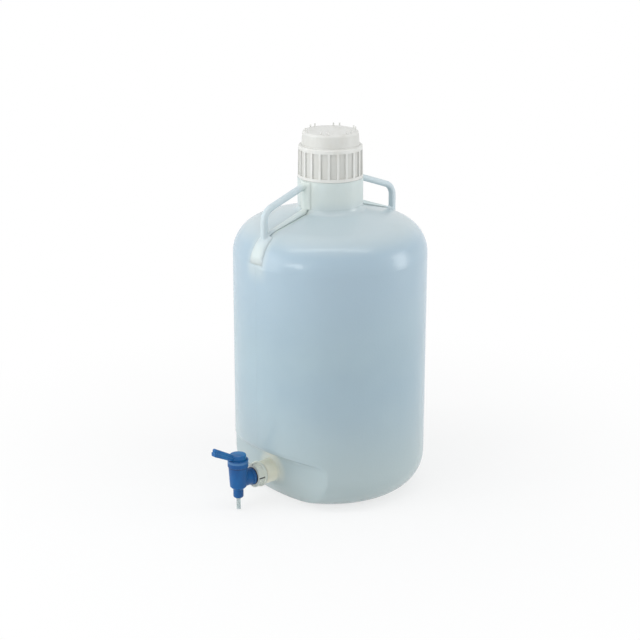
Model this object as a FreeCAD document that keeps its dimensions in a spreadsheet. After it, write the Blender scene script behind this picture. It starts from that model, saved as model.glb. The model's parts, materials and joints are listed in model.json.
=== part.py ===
import FreeCAD, Part
import math
import os
import types

import Sketcher

# A round dispensing carboy: a hollow bottle with two loop handles, a screw closure, and a stopcock
# spigot on a boss low at the front. Millimetres, +Z up, origin at the centre of the base.
# The spigot and both handles lie in the plane x = 0, with the spigot towards -Y.

SIZES = {
    # bottle
    "wall_radius": 143.5,
    "wall_thickness": 3.0,
    "heel_radius": 53.0,
    "wall_top": 361.5,
    "shoulder_radius": 52.0,
    "shoulder_slope": 15.0,
    "neck_radius": 48.0,
    "neck_fillet": 8.0,
    "neck_height": 47.0,
    "neck_step": 7.0,
    "finish_height": 39.5,
    "finish_wall": 4.5,
    # recess and boss for the spigot
    "recess_inset": 27.0,
    "recess_bow": 330.0,
    "recess_heel": 46.0,
    "recess_bend": 64.0,
    "recess_top": 72.0,
    "recess_roof_rise": 14.0,
    "recess_round": 12.0,
    "boss_wall": 5.0,
    "boss_length": 21.5,
    "boss_fillet": 3.0,
    "shank_height": 46.0,
    # handles
    "handle_width": 10.0,
    "handle_drop": 19.5,
    "handle_bar": 9.5,
    "handle_post": 10.0,
    "handle_inset": 12.0,
    "handle_corner": 25.0,
    "handle_web": 5.0,
    "handle_round": 4.0,
    "strip_thickness": 3.5,
    "strip_angle": 25.0,
    "foot_angle": 11.0,
    "foot_low": 6.0,
    "foot_high": 56.0,
    # closure
    "thread_room": 2.2,
    "skirt_wall": 4.4,
    "closure_wall": 4.5,
    "closure_draft": 0.8,
    "skirt_round": 2.5,
    "tier_step": 5.4,
    "tier_draft": 1.2,
    "tier_height": 20.0,
    "tier_wall": 3.5,
    "tier_round": 3.0,
    "groove_count": 22,
    "groove_angle": 12.2,
    "groove_depth": 1.5,
    "groove_height": 36.5,
    "skirt_band": 4.5,
    "groove_phase": 4.0,
    "post_pairs": 6,
    "post_inset": 5.7,
    "post_radius": 1.1,
    "post_height": 4.5,
    "post_phase": 29.7,
    "post_spread": 7.3,
    "gasket_width": 5.6,
    "gasket_thickness": 3.0,
    # spigot fitting, from the boss outwards
    "bushing_gasket_thickness": 2.2,
    "bushing_gasket_inset": 0.5,
    "bushing_overhang": 1.5,
    "bushing_rim": 3.5,
    "bushing_rim_step": 1.2,
    "bushing_head": 13.2,
    "bushing_wall": 4.0,
    "bushing_inside": 3.0,
    "grip_count": 30,
    "grip_angle": 6.0,
    "grip_depth": 0.7,
    "notch_count": 4,
    "notch_angle": 7.0,
    "notch_depth": 2.6,
    "washer_thickness": 1.8,
    "washer_overhang": 0.5,
    # spigot body, heights from the shank axis
    "flange_reach": 25.3,
    "flange_thickness": 3.0,
    "flange_step": 1.2,
    "shank_radius": 11.4,
    "thread_radius": 8.5,
    "thread_inside": 6.0,
    "flow_radius": 4.5,
    "barrel_top": 28.5,
    "barrel_wall": 3.7,
    "barrel_flare": 2.1,
    "barrel_bottom": 8.5,
    "nozzle_wall": 4.45,
    "nozzle_top": 12.9,
    "nozzle_end": 26.0,
    "nozzle_round": 2.5,
    "outlet_radius": 2.4,
    "socket_depth": 11.0,
    # stopcock key and its collar
    "plug_radius": 8.5,
    "key_flange": 2.4,
    "key_flange_step": 4.7,
    "head_step": 1.1,
    "head_top": 41.5,
    "head_round": 1.2,
    "port_radius": 3.2,
    "passage_radius": 3.8,
    "seal_section": 1.7,
    "seal_above": 12.0,
    "seal_below": 5.9,
    "collar_wall": 1.8,
    "collar_skirt": 5.5,
    "collar_lip": 2.4,
    "stop_step": 2.8,
    "stop_width": 2.0,
    "stop_depth": 2.2,
    "stop_angle": 20.0,
    "stop_play": 1.5,
    "quarter_turn": 90.0,
    "lever_reach": 45.5,
    "lever_tilt": 25.6,
    "lever_root": 10.5,
    "lever_tip": 12.9,
    "lever_width": 9.5,
    "lever_round": 2.4,
    "lever_step": 0.8,
    "ledge_share": 0.5,
    # outlet tube
    "tube_radius": 3.15,
    "tube_bore": 2.0,
    "tube_clear": 1.5,
    "tube_collar": 1.6,
    "tube_collar_radius": 4.1,
    # clearances
    "seat_gap": 0.1,
    "running_gap": 0.3,
    "fit_gap": 0.05,
}

doc = FreeCAD.newDocument("carboy")
sheet = doc.addObject("Spreadsheet::Sheet", "sizes")
for row, (name, number) in enumerate(SIZES.items(), start=1):
    sheet.set(f"A{row}", name)
    sheet.set(f"B{row}", str(number))
    sheet.setAlias(f"B{row}", name)
doc.recompute()


class Dim:
    """A size that carries its number and the sheet formula that gives it."""

    def __init__(self, number, formula):
        self.number = float(number)
        self.formula = formula

    def joined(self, sign, other, number):
        return Dim(number, f"({self.formula} {sign} {other.formula})")

    def __add__(self, other):
        other = dim(other)
        return self.joined("+", other, self.number + other.number)

    def __sub__(self, other):
        other = dim(other)
        return self.joined("-", other, self.number - other.number)

    def __mul__(self, other):
        other = dim(other)
        return self.joined("*", other, self.number * other.number)

    def __truediv__(self, other):
        other = dim(other)
        return self.joined("/", other, self.number / other.number)

    def __radd__(self, other):
        return dim(other) + self

    def __rsub__(self, other):
        return dim(other) - self

    def __rmul__(self, other):
        return dim(other) * self

    def __neg__(self):
        return Dim(-self.number, f"(0 - {self.formula})")


def dim(value):
    """Turn a bare number into a Dim, and leave a Dim as it is."""
    if isinstance(value, Dim):
        return value
    return Dim(value, f"({value})")


def sine(angle):
    return Dim(math.sin(math.radians(angle.number)), f"sin({angle.formula})")


def cosine(angle):
    return Dim(math.cos(math.radians(angle.number)), f"cos({angle.formula})")


def tangent(angle):
    return Dim(math.tan(math.radians(angle.number)), f"tan({angle.formula})")


def root(value):
    return Dim(math.sqrt(value.number), f"sqrt({value.formula})")


s = types.SimpleNamespace(**{name: Dim(sheet.get(name), f"sizes.{name}") for name in SIZES})
ZERO = dim(0)
FULL_TURN = dim(360)
RIGHT_ANGLE = dim(90)
LEVEL = 1e-3


class Arc:
    """A round stretch of an outline; turn is +1 for anticlockwise and -1 for clockwise."""

    def __init__(self, radius, turn):
        self.radius = dim(radius)
        self.turn = turn


def bind(feature, prop, value):
    feature.setExpression(prop, dim(value).formula)


def origin_feature(body, role):
    return next(item for item in body.Origin.OriginFeatures if item.Role == role)


def new_body(label, x=ZERO, y=ZERO, z=ZERO):
    body = doc.addObject("PartDesign::Body", label)
    body.Label = label
    for axis, value in zip("xyz", (x, y, z)):
        if dim(value).number:
            bind(body, f"Placement.Base.{axis}", value)
    return body


def new_sketch(body, name, plane, offset=ZERO, shift=ZERO):
    """A sketch on one of the body's planes, set off from it or shifted along its first axis."""
    sketch = body.newObject("Sketcher::SketchObject", name)
    sketch.AttachmentSupport = [(origin_feature(body, plane), "")]
    sketch.MapMode = "FlatFace"
    for axis, value in (("x", shift), ("z", offset)):
        if dim(value).number:
            bind(sketch, f"AttachmentOffset.Base.{axis}", value)
    return sketch


def fix_point(sketch, edge, end, x, y):
    """Place one end of a sketch edge by two bound distances from the sketch's origin."""
    for kind, value, axis in (("DistanceX", x, -2), ("DistanceY", y, -1)):
        if value.number == 0:
            sketch.addConstraint(Sketcher.Constraint("PointOnObject", edge, end, axis))
            continue
        index = sketch.addConstraint(Sketcher.Constraint(kind, -1, 1, edge, end, value.number))
        sketch.setExpression(f"Constraints[{index}]", value.formula)


def draw_outline(sketch, path):
    """Draw a closed outline through its points; an Arc between two points rounds that stretch."""
    corners = []
    bends = []
    for item in path:
        if isinstance(item, Arc):
            bends[-1] = item
            continue
        corners.append((dim(item[0]), dim(item[1])))
        bends.append(None)
    edges = []
    for index, bend in enumerate(bends):
        here = FreeCAD.Vector(*(value.number for value in corners[index]), 0)
        there = FreeCAD.Vector(*(value.number for value in corners[(index + 1) % len(corners)]), 0)
        if bend is None:
            edge = sketch.addGeometry(Part.LineSegment(here, there), False)
            edges.append((edge, 1, 2))
            continue
        chord = there - here
        left = FreeCAD.Vector(-chord.y, chord.x, 0).normalize() * bend.turn
        rise = math.sqrt(max(bend.radius.number ** 2 - (chord.Length / 2) ** 2, 0))
        centre = (here + there) * 0.5 + left * rise
        first, last = (here, there) if bend.turn > 0 else (there, here)
        start = math.atan2(first.y - centre.y, first.x - centre.x)
        stop = math.atan2(last.y - centre.y, last.x - centre.x)
        circle = Part.Circle(centre, FreeCAD.Vector(0, 0, 1), bend.radius.number)
        edge = sketch.addGeometry(Part.ArcOfCircle(circle, start, stop), False)
        edges.append((edge, 1, 2) if bend.turn > 0 else (edge, 2, 1))
    for index, (edge, begin, end) in enumerate(edges):
        following, follow_begin, _ = edges[(index + 1) % len(edges)]
        sketch.addConstraint(Sketcher.Constraint("Coincident", edge, end, following, follow_begin))
    for (edge, begin, _), (x, y) in zip(edges, corners):
        fix_point(sketch, edge, begin, x, y)
    for (edge, _, _), bend in zip(edges, bends):
        if bend is not None:
            index = sketch.addConstraint(Sketcher.Constraint("Radius", edge, bend.radius.number))
            sketch.setExpression(f"Constraints[{index}]", bend.radius.formula)
    return sketch


def draw_circle(sketch, x, y, radius):
    centre = FreeCAD.Vector(dim(x).number, dim(y).number, 0)
    edge = sketch.addGeometry(Part.Circle(centre, FreeCAD.Vector(0, 0, 1), radius.number), False)
    fix_point(sketch, edge, 3, dim(x), dim(y))
    index = sketch.addConstraint(Sketcher.Constraint("Radius", edge, radius.number))
    sketch.setExpression(f"Constraints[{index}]", radius.formula)
    return sketch


def turned(body, kind, sketch, axis="Z_Axis", angle=FULL_TURN):
    """Revolve a sketch about a body's axis or its own V_Axis, evenly to both sides of the sketch."""
    feature = body.newObject(f"PartDesign::{kind}", f"{sketch.Name}_{kind}")
    feature.Profile = sketch
    own_axis = axis == "V_Axis"
    feature.ReferenceAxis = (sketch, [axis]) if own_axis else (origin_feature(body, axis), [""])
    feature.Midplane = True
    bind(feature, "Angle", angle)
    sketch.Visibility = False
    doc.recompute()
    return feature


def pushed(body, kind, sketch, length, both_sides=True, reverse=False):
    """Pad or pocket a sketch, evenly to both sides of it or to one side."""
    feature = body.newObject(f"PartDesign::{kind}", f"{sketch.Name}_{kind}")
    feature.Profile = sketch
    feature.SideType = "Symmetric" if both_sides else "One side"
    feature.Reversed = reverse
    bind(feature, "Length", length)
    sketch.Visibility = False
    doc.recompute()
    return feature


def repeated(body, features, count, axis="Z_Axis"):
    """Repeat features evenly round one of the body's axes."""
    pattern = body.newObject("PartDesign::PolarPattern", f"{features[0].Name}_round")
    pattern.Originals = features
    pattern.Axis = (origin_feature(body, axis), [""])
    pattern.Angle = FULL_TURN.number
    bind(pattern, "Occurrences", count)
    body.Tip = pattern
    doc.recompute()
    return pattern


def rounded(body, radius, wanted):
    """Fillet the edges of the body's last feature that a test picks out."""
    base = body.Tip
    picked = [f"Edge{i}" for i, edge in enumerate(base.Shape.Edges, start=1) if wanted(edge)]
    feature = body.newObject("PartDesign::Fillet", f"{base.Name}_rounded")
    feature.Base = (base, picked)
    bind(feature, "Radius", radius)
    doc.recompute()
    return feature


def ring(label, axis, inner, outer, low, high, **place):
    """A plain ring round the body's Y or Z axis, between two radii and two heights."""
    body = new_body(label, **place)
    sketch = new_sketch(body, f"{label}_section", "YZ_Plane")
    corners = [(inner, low), (outer, low), (outer, high), (inner, high)]
    if axis == "Y_Axis":
        corners = [(along, across) for across, along in corners]
    draw_outline(sketch, corners)
    turned(body, "Revolution", sketch, axis)
    return body


# Bottle

flat_face = s.wall_radius - s.recess_inset
bow_axis = s.recess_bow - flat_face
boss_face = flat_face + s.boss_length
bushing_thread = s.thread_radius + s.bushing_wall
boss_radius = bushing_thread + s.boss_wall
finish_radius = s.neck_radius - s.neck_step
mouth_radius = finish_radius - s.finish_wall
shoulder_centre = s.wall_radius - s.shoulder_radius
half_corner = (RIGHT_ANGLE - s.shoulder_slope) / 2


def shoulder_cone(inset):
    """Radius and height where the shoulder's cone starts, and the height where it meets the neck."""
    bend = s.shoulder_radius - inset
    radius = shoulder_centre + bend * sine(s.shoulder_slope)
    height = s.wall_top + bend * cosine(s.shoulder_slope)
    corner = height + (radius - s.neck_radius + inset) * tangent(s.shoulder_slope)
    return radius, height, corner


neck_top = shoulder_cone(ZERO)[2] + s.neck_height
rim_height = neck_top + s.finish_height


def shell_profile(inset):
    """Corner points of the turned shell, at a depth inside its outer skin, from base to neck."""
    cone_radius, cone_height, corner = shoulder_cone(inset)
    neck = s.neck_radius - inset
    fillet = s.neck_fillet + inset
    run = fillet * tangent(half_corner)
    return [
        (ZERO, inset),
        (s.wall_radius - s.heel_radius, inset),
        Arc(s.heel_radius - inset, 1),
        (s.wall_radius - inset, s.heel_radius),
        (s.wall_radius - inset, s.wall_top),
        Arc(s.shoulder_radius - inset, 1),
        (cone_radius, cone_height),
        (neck + run * cosine(s.shoulder_slope), corner - run * sine(s.shoulder_slope)),
        Arc(fillet, -1),
        (neck, corner + run),
    ]


def recess_outline(inset):
    """Outline of what the bowed recess takes away, from its own axis, at a depth inside the outer skin."""
    face = s.recess_bow - inset
    bend = s.recess_bend - inset
    below = -s.wall_thickness
    drop = s.recess_heel - below
    floor = s.recess_bow - s.recess_bend + root(bend * bend - drop * drop)
    slope = s.recess_roof_rise / s.recess_inset
    roof = s.recess_top - inset * slope + inset * root(1 + slope * slope)
    outside = bow_axis + s.wall_radius + s.recess_inset
    return [
        (-floor, below),
        Arc(bend, -1),
        (-face, s.recess_heel),
        (-face, roof),
        (-outside, roof + (outside - face) * slope),
        (-outside, below),
    ]


def turned_shell(label, inset, top):
    """The bottle's solid form with its recess, at a depth inside the outer skin."""
    body = new_body(label)
    sketch = new_sketch(body, f"{label}_profile", "YZ_Plane")
    draw_outline(sketch, shell_profile(inset) + top)
    turned(body, "Revolution", sketch)
    recess = new_sketch(body, f"{label}_recess", "YZ_Plane", shift=bow_axis)
    draw_outline(recess, recess_outline(inset))
    turned(body, "Groove", recess, "V_Axis", RIGHT_ANGLE)
    front = (s.wall_radius / 2).number
    roof_edge = (s.recess_top + s.recess_roof_rise + s.recess_round).number

    def recess_edge(edge):
        middle = edge.discretize(3)[1]
        smooth = abs(middle.x) < LEVEL and middle.z < s.recess_heel.number + LEVEL
        return middle.y < -front and inset.number + LEVEL < middle.z < roof_edge and not smooth

    rounded(body, s.recess_round - inset, recess_edge)
    return body


def make_bottle():
    outside = turned_shell("bottle_outside", ZERO, [
        (s.neck_radius, neck_top),
        (finish_radius, neck_top),
        (finish_radius, rim_height),
        (ZERO, rim_height),
    ])
    boss = new_sketch(outside, "boss_circle", "XZ_Plane")
    draw_circle(boss, ZERO, s.shank_height, boss_radius)
    pushed(outside, "Pad", boss, boss_face, both_sides=False)

    def boss_foot(edge):
        middle = edge.discretize(3)[1]
        across = math.hypot(middle.x, middle.z - s.shank_height.number)
        on_boss = abs(across - boss_radius.number) < LEVEL
        return on_boss and abs(middle.y + boss_face.number) > s.boss_fillet.number

    rounded(outside, s.boss_fillet, boss_foot)
    neck_inside = s.neck_radius - s.wall_thickness
    inside = turned_shell("bottle_inside", s.wall_thickness, [
        (neck_inside, neck_top - (neck_inside - mouth_radius)),
        (mouth_radius, neck_top),
        (mouth_radius, rim_height + s.wall_thickness),
        (ZERO, rim_height + s.wall_thickness),
    ])
    bore = new_body("boss_bore", z=s.shank_height)
    circle = new_sketch(bore, "boss_bore_circle", "XZ_Plane")
    draw_circle(circle, ZERO, ZERO, bushing_thread + s.fit_gap)
    pushed(bore, "Pad", circle, boss_face + s.wall_thickness, both_sides=False)
    hollow = doc.addObject("Part::Cut", "bottle_hollow")
    hollow.Base = outside
    hollow.Tool = inside
    bottle = doc.addObject("Part::Cut", "bottle_body")
    bottle.Base = hollow
    bottle.Tool = bore
    bottle.Label = "bottle_body"
    return bottle


# Handles

def make_handle(label, half_turns):
    """A closed loop of bar, post and web, with a strip on the neck and a foot over the shoulder."""
    body = new_body(label)
    gap = s.seat_gap
    handle_reach = s.wall_radius - s.handle_inset
    slope = tangent(s.handle_drop)
    profile = shell_profile(-gap)
    (neck_side, neck_low), cone_in, cone_out = profile[9], profile[7], profile[6]
    bar_top = neck_top - s.running_gap
    outer_run = s.handle_corner * tangent((RIGHT_ANGLE - s.handle_drop) / 2)
    outer_corner = bar_top - (handle_reach - neck_side) * slope
    across = handle_reach - shoulder_centre
    bend = s.shoulder_radius + gap
    foot_height = s.wall_top + root(bend * bend - across * across)
    loop = new_sketch(body, f"{label}_loop", "YZ_Plane")
    draw_outline(loop, [
        (-neck_side, bar_top),
        (-(handle_reach - outer_run * cosine(s.handle_drop)),
         outer_corner + outer_run * sine(s.handle_drop)),
        Arc(s.handle_corner, 1),
        (-handle_reach, outer_corner - outer_run),
        (-handle_reach, foot_height),
        Arc(bend, -1),
        (-cone_out[0], cone_out[1]),
        (-cone_in[0], cone_in[1]),
        Arc(s.neck_fillet - gap, 1),
        (-neck_side, neck_low),
    ])
    inner_reach = handle_reach - s.handle_post
    inner_neck = neck_side + s.handle_web
    bar_bottom = bar_top - s.handle_bar / cosine(s.handle_drop)
    inner_radius = s.handle_corner - s.handle_post
    inner_run = inner_radius * tangent((RIGHT_ANGLE - s.handle_drop) / 2)
    inner_corner = bar_bottom - (inner_reach - neck_side) * slope
    inner_across = inner_reach - shoulder_centre
    web_top = s.wall_top + root(bend * bend - inner_across * inner_across) + s.handle_web
    draw_outline(loop, [
        (-inner_neck, bar_bottom - (inner_neck - neck_side) * slope),
        (-inner_neck, neck_low),
        (-inner_reach, web_top),
        (-inner_reach, inner_corner - inner_run),
        Arc(inner_radius, -1),
        (-(inner_reach - inner_run * cosine(s.handle_drop)),
         inner_corner + inner_run * sine(s.handle_drop)),
    ])
    pushed(body, "Pad", loop, s.handle_width)
    side = s.handle_width.number / 2

    def gripped(edge):
        middle = edge.discretize(3)[1]
        share = (-middle.y - inner_neck.number) / (inner_reach - inner_neck).number
        web = neck_low.number + share * (web_top - neck_low).number
        on_side = abs(abs(middle.x) - side) < LEVEL
        return on_side and -middle.y > neck_side.number + gap.number and middle.z > web - gap.number

    rounded(body, s.handle_round, gripped)
    strip = new_sketch(body, f"{label}_strip", "YZ_Plane")
    draw_outline(strip, [
        (-neck_side, neck_low),
        (-neck_side, bar_top),
        (-(neck_side + s.strip_thickness), bar_top - s.strip_thickness),
        (-(neck_side + s.strip_thickness), neck_low),
    ])
    turned(body, "Revolution", strip, angle=s.strip_angle)
    skin = bend + s.strip_thickness

    def on_shoulder(radius, angle):
        return (-(shoulder_centre + radius * cosine(angle)), s.wall_top + radius * sine(angle))

    foot = new_sketch(body, f"{label}_foot", "YZ_Plane")
    draw_outline(foot, [
        on_shoulder(bend, s.foot_low),
        Arc(bend, -1),
        on_shoulder(bend, s.foot_high),
        on_shoulder(skin, s.foot_high),
        Arc(skin, 1),
        on_shoulder(skin, s.foot_low),
    ])
    turned(body, "Revolution", foot, angle=s.foot_angle)
    turn = FULL_TURN.number / 2 * half_turns
    body.Placement = FreeCAD.Placement(FreeCAD.Vector(), FreeCAD.Rotation(turn, 0, 0))
    return body


# Closure

gasket_low = rim_height + s.running_gap
gasket_high = gasket_low + s.gasket_thickness
ledge_under = gasket_high + s.running_gap
ledge_top = ledge_under + s.closure_wall
skirt_low = neck_top + s.running_gap
disc_top = ledge_top + s.tier_height
closure_bore = finish_radius + s.thread_room
closure_radius = closure_bore + s.skirt_wall
tier_radius = closure_radius - s.tier_step
post_circle = tier_radius - s.post_inset


def make_closure():
    body = new_body("closure")
    bind(body, "Placement.Rotation.Angle", s.groove_phase)
    skirt_top = closure_radius - s.closure_draft
    tier_top = tier_radius - s.tier_draft
    profile = new_sketch(body, "closure_profile", "YZ_Plane")
    draw_outline(profile, [
        (closure_bore, skirt_low),
        (closure_radius, skirt_low),
        (skirt_top, ledge_top - s.skirt_round),
        Arc(s.skirt_round, 1),
        (skirt_top - s.skirt_round, ledge_top),
        (tier_radius, ledge_top),
        (tier_top, disc_top - s.tier_round),
        Arc(s.tier_round, 1),
        (tier_top - s.tier_round, disc_top),
        (ZERO, disc_top),
        (ZERO, disc_top - s.tier_wall),
        (tier_top - s.tier_wall, disc_top - s.tier_wall),
        (tier_radius - s.tier_wall, ledge_under),
        (closure_bore, ledge_under),
    ])
    turned(body, "Revolution", profile)
    groove = new_sketch(body, "grip_groove", "YZ_Plane")
    floor = closure_radius - s.closure_draft - s.groove_depth
    outside = closure_radius + s.groove_depth
    groove_low = skirt_low + s.skirt_band
    groove_high = groove_low + s.groove_height
    draw_outline(groove, [
        (-floor, groove_low),
        (-outside, groove_low),
        (-outside, groove_high),
        (-floor, groove_high),
    ])
    repeated(body, [turned(body, "Groove", groove, angle=s.groove_angle)], s.groove_count)
    posts = new_sketch(body, "post_pair", "XY_Plane", offset=disc_top - s.tier_wall / 2)
    for side in (-1, 1):
        angle = s.post_phase + side * s.post_spread
        draw_circle(posts, post_circle * sine(angle), -(post_circle * cosine(angle)), s.post_radius)
    pair = pushed(body, "Pad", posts, s.post_height + s.tier_wall / 2, both_sides=False)
    repeated(body, [pair], s.post_pairs)
    return body


# Spigot fitting: gasket, bushing and washer on the boss, in a body whose Y axis is the shank's axis

bushing_back = boss_face + s.bushing_gasket_thickness
bushing_front = bushing_back + s.bushing_head
washer_front = bushing_front + s.washer_thickness
valve_distance = washer_front + s.flange_reach
thread_bore = s.thread_radius + s.fit_gap
bushing_gasket_radius = boss_radius - s.bushing_gasket_inset
bushing_rim_radius = boss_radius + s.bushing_overhang
bushing_grip_radius = bushing_rim_radius - s.bushing_rim_step
flange_radius = s.shank_radius + s.flange_step
washer_radius = flange_radius + s.washer_overhang


def make_bushing():
    body = new_body("spigot_bushing", z=s.shank_height)
    rim_front = bushing_back + s.bushing_rim
    inner_end = flat_face - s.wall_thickness - s.bushing_inside
    profile = new_sketch(body, "bushing_profile", "YZ_Plane")
    draw_outline(profile, [
        (-bushing_front, thread_bore),
        (-bushing_front, bushing_grip_radius),
        (-rim_front, bushing_grip_radius),
        (-rim_front, bushing_rim_radius),
        (-bushing_back, bushing_rim_radius),
        (-bushing_back, bushing_thread),
        (-inner_end, bushing_thread),
        (-inner_end, thread_bore),
    ])
    turned(body, "Revolution", profile, "Y_Axis")
    cuts = []
    for name, count, angle, depth in (
            ("grip", s.grip_count, s.grip_angle, s.grip_depth),
            ("notch", s.notch_count, s.notch_angle, s.notch_depth)):
        cut = new_sketch(body, f"{name}_cut", "YZ_Plane")
        above = bushing_rim_radius + s.notch_depth
        draw_outline(cut, [
            (-(bushing_front + s.notch_depth), bushing_grip_radius - depth),
            (-rim_front, bushing_grip_radius - depth),
            (-rim_front, above),
            (-(bushing_front + s.notch_depth), above),
        ])
        repeated(body, [turned(body, "Groove", cut, "Y_Axis", angle)], count, "Y_Axis")
    return body


# Spigot body, key, collar and tube share the valve's frame: its Z axis is the key's, at shank height

valve = {"y": -valve_distance, "z": s.shank_height}
bore_radius = s.plug_radius + s.fit_gap
barrel_foot = s.plug_radius + s.barrel_wall
barrel_radius = barrel_foot + s.barrel_flare
nozzle_radius = s.tube_radius + s.nozzle_wall
key_flange_radius = s.plug_radius + s.key_flange_step
head_radius = key_flange_radius - s.head_step
stop_radius = s.plug_radius + s.stop_step
key_bottom = -s.barrel_bottom
collar_bottom = s.barrel_top - s.collar_skirt
key_low = s.barrel_top + s.running_gap
key_high = key_low + s.key_flange
lip_low = key_high + s.running_gap
lip_high = lip_low + s.collar_lip
collar_hole = head_radius + 2 * s.running_gap
lever_low = lip_high + s.running_gap
collar_bore = key_flange_radius + s.running_gap
collar_radius = collar_bore + s.collar_wall
tube_top = s.socket_depth - s.nozzle_end


def cut_stop_slot(spigot):
    """The arc slot under the collar that lets the key's tab swing a quarter turn."""
    swing = s.quarter_turn + s.stop_angle + 2 * s.stop_play
    slot = ring_sector("stop_slot", s.stop_width / 2 + s.running_gap, s.stop_depth + s.running_gap,
                       s.barrel_top, swing, s.quarter_turn / 2)
    cut = doc.addObject("Part::Cut", "spigot_body")
    cut.Base = spigot
    cut.Tool = slot
    cut.Label = "spigot_body"
    return cut


def ring_sector(label, half_width, depth, top, angle, lean):
    """A short arc of a ring round the valve axis, hanging down from a height."""
    body = new_body(label, **valve)
    section = new_sketch(body, f"{label}_section", "YZ_Plane")
    draw_outline(section, [
        (stop_radius - half_width, top - depth),
        (stop_radius + half_width, top - depth),
        (stop_radius + half_width, top + s.running_gap),
        (stop_radius - half_width, top + s.running_gap),
    ])
    turned(body, "Revolution", section, angle=angle)
    bind(body, "Placement.Rotation.Angle", -lean)
    return body


def make_spigot():
    body = new_body("spigot_barrel", **valve)
    outside = new_sketch(body, "barrel_profile", "YZ_Plane")
    draw_outline(outside, [
        (ZERO, -s.nozzle_end),
        (nozzle_radius - s.nozzle_round, -s.nozzle_end),
        Arc(s.nozzle_round, 1),
        (nozzle_radius, s.nozzle_round - s.nozzle_end),
        (nozzle_radius, -s.nozzle_top),
        (barrel_foot, -s.barrel_bottom),
        (barrel_radius, collar_bottom),
        (collar_bore - s.fit_gap, collar_bottom),
        (collar_bore - s.fit_gap, s.barrel_top),
        (ZERO, s.barrel_top),
    ])
    turned(body, "Revolution", outside)
    flange_back = s.flange_reach - s.flange_thickness
    thread_end = valve_distance - flat_face + s.wall_thickness + s.thread_inside
    shank = new_sketch(body, "shank_profile", "YZ_Plane")
    draw_outline(shank, [
        (ZERO, ZERO),
        (ZERO, s.shank_radius),
        (flange_back, s.shank_radius),
        (flange_back, flange_radius),
        (s.flange_reach, flange_radius),
        (s.flange_reach, s.thread_radius),
        (thread_end, s.thread_radius),
        (thread_end, ZERO),
    ])
    turned(body, "Revolution", shank, "Y_Axis")
    bore = new_sketch(body, "valve_bore", "YZ_Plane")
    floor = key_bottom - s.running_gap
    draw_outline(bore, [
        (ZERO, s.barrel_top + s.running_gap),
        (bore_radius, s.barrel_top + s.running_gap),
        (bore_radius, floor),
        (s.outlet_radius, floor - (bore_radius - s.outlet_radius) / 2),
        (s.outlet_radius, tube_top),
        (s.tube_radius + s.fit_gap, tube_top),
        (s.tube_radius + s.fit_gap, -(s.nozzle_end + s.running_gap)),
        (ZERO, -(s.nozzle_end + s.running_gap)),
    ])
    turned(body, "Groove", bore)
    flow = new_sketch(body, "flow_bore", "YZ_Plane")
    draw_outline(flow, [
        (ZERO, ZERO),
        (ZERO, s.flow_radius),
        (thread_end + s.running_gap, s.flow_radius),
        (thread_end + s.running_gap, ZERO),
    ])
    turned(body, "Groove", flow, "Y_Axis")
    return cut_stop_slot(body)


def make_key():
    body = new_body("key_turned", **valve)
    seat = s.plug_radius - s.seal_section - s.fit_gap
    half_seal = s.seal_section / 2 + s.fit_gap
    profile = new_sketch(body, "key_profile", "YZ_Plane")
    seals = []
    for height in (-s.seal_below, s.seal_above):
        seals += [
            (s.plug_radius, height - half_seal),
            (seat, height - half_seal),
            (seat, height + half_seal),
            (s.plug_radius, height + half_seal),
        ]
    draw_outline(profile, [(ZERO, key_bottom), (s.plug_radius, key_bottom)] + seals + [
        (s.plug_radius, key_low),
        (key_flange_radius, key_low),
        (key_flange_radius, key_high),
        (head_radius, key_high),
        (head_radius, s.head_top - s.head_round),
        Arc(s.head_round, 1),
        (head_radius - s.head_round, s.head_top),
        (ZERO, s.head_top),
    ])
    turned(body, "Revolution", profile)
    passage = new_sketch(body, "key_passage", "YZ_Plane")
    draw_outline(passage, [
        (ZERO, key_bottom - s.running_gap),
        (s.passage_radius, key_bottom - s.running_gap),
        (s.passage_radius, s.passage_radius),
        (ZERO, s.passage_radius),
    ])
    turned(body, "Groove", passage)
    port = new_sketch(body, "key_port", "YZ_Plane")
    draw_outline(port, [
        (ZERO, ZERO),
        (ZERO, s.port_radius),
        (s.plug_radius + s.running_gap, s.port_radius),
        (s.plug_radius + s.running_gap, ZERO),
    ])
    turned(body, "Groove", port, "Y_Axis")
    tab = ring_sector("stop_tab", s.stop_width / 2, s.stop_depth, key_low, s.stop_angle, ZERO)
    ledge = make_lever_bar("lever_ledge", ZERO, s.ledge_share, s.lever_width, s.lever_reach,
                           s.lever_round * s.ledge_share)
    bar = make_lever_bar("lever_bar", s.ledge_share / 2, dim(1), s.lever_width - 2 * s.lever_step,
                         s.lever_reach - s.lever_step, s.lever_round)
    key = doc.addObject("Part::MultiFuse", "stopcock_key")
    key.Shapes = [body, tab, bar, ledge]
    key.Label = "stopcock_key"
    return key


def make_lever_bar(label, low, high, width, reach, fillet):
    """A straight bar from inside the head, rising outwards and thicker at its tip.

    It runs between two shares of the lever's height, and all edges outside the head are rounded."""
    body = new_body(label, **valve)
    inside = head_radius / 2
    span = reach - collar_hole

    def line(share):
        root_height = lever_low + share * s.lever_root
        tip_height = lever_low + span * tangent(s.lever_tilt) + share * s.lever_tip
        rise = (tip_height - root_height) / span
        inner = (-inside, root_height - (collar_hole - inside) * rise)
        return inner, (-reach, tip_height)

    low_inner, low_outer = line(low)
    high_inner, high_outer = line(high)
    outline = new_sketch(body, f"{label}_outline", "YZ_Plane")
    draw_outline(outline, [low_inner, low_outer, high_outer, high_inner])
    pushed(body, "Pad", outline, width)

    def outside_head(edge):
        return edge.discretize(3)[1].y < -(inside + s.fit_gap).number

    rounded(body, fillet, outside_head)
    return body


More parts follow.
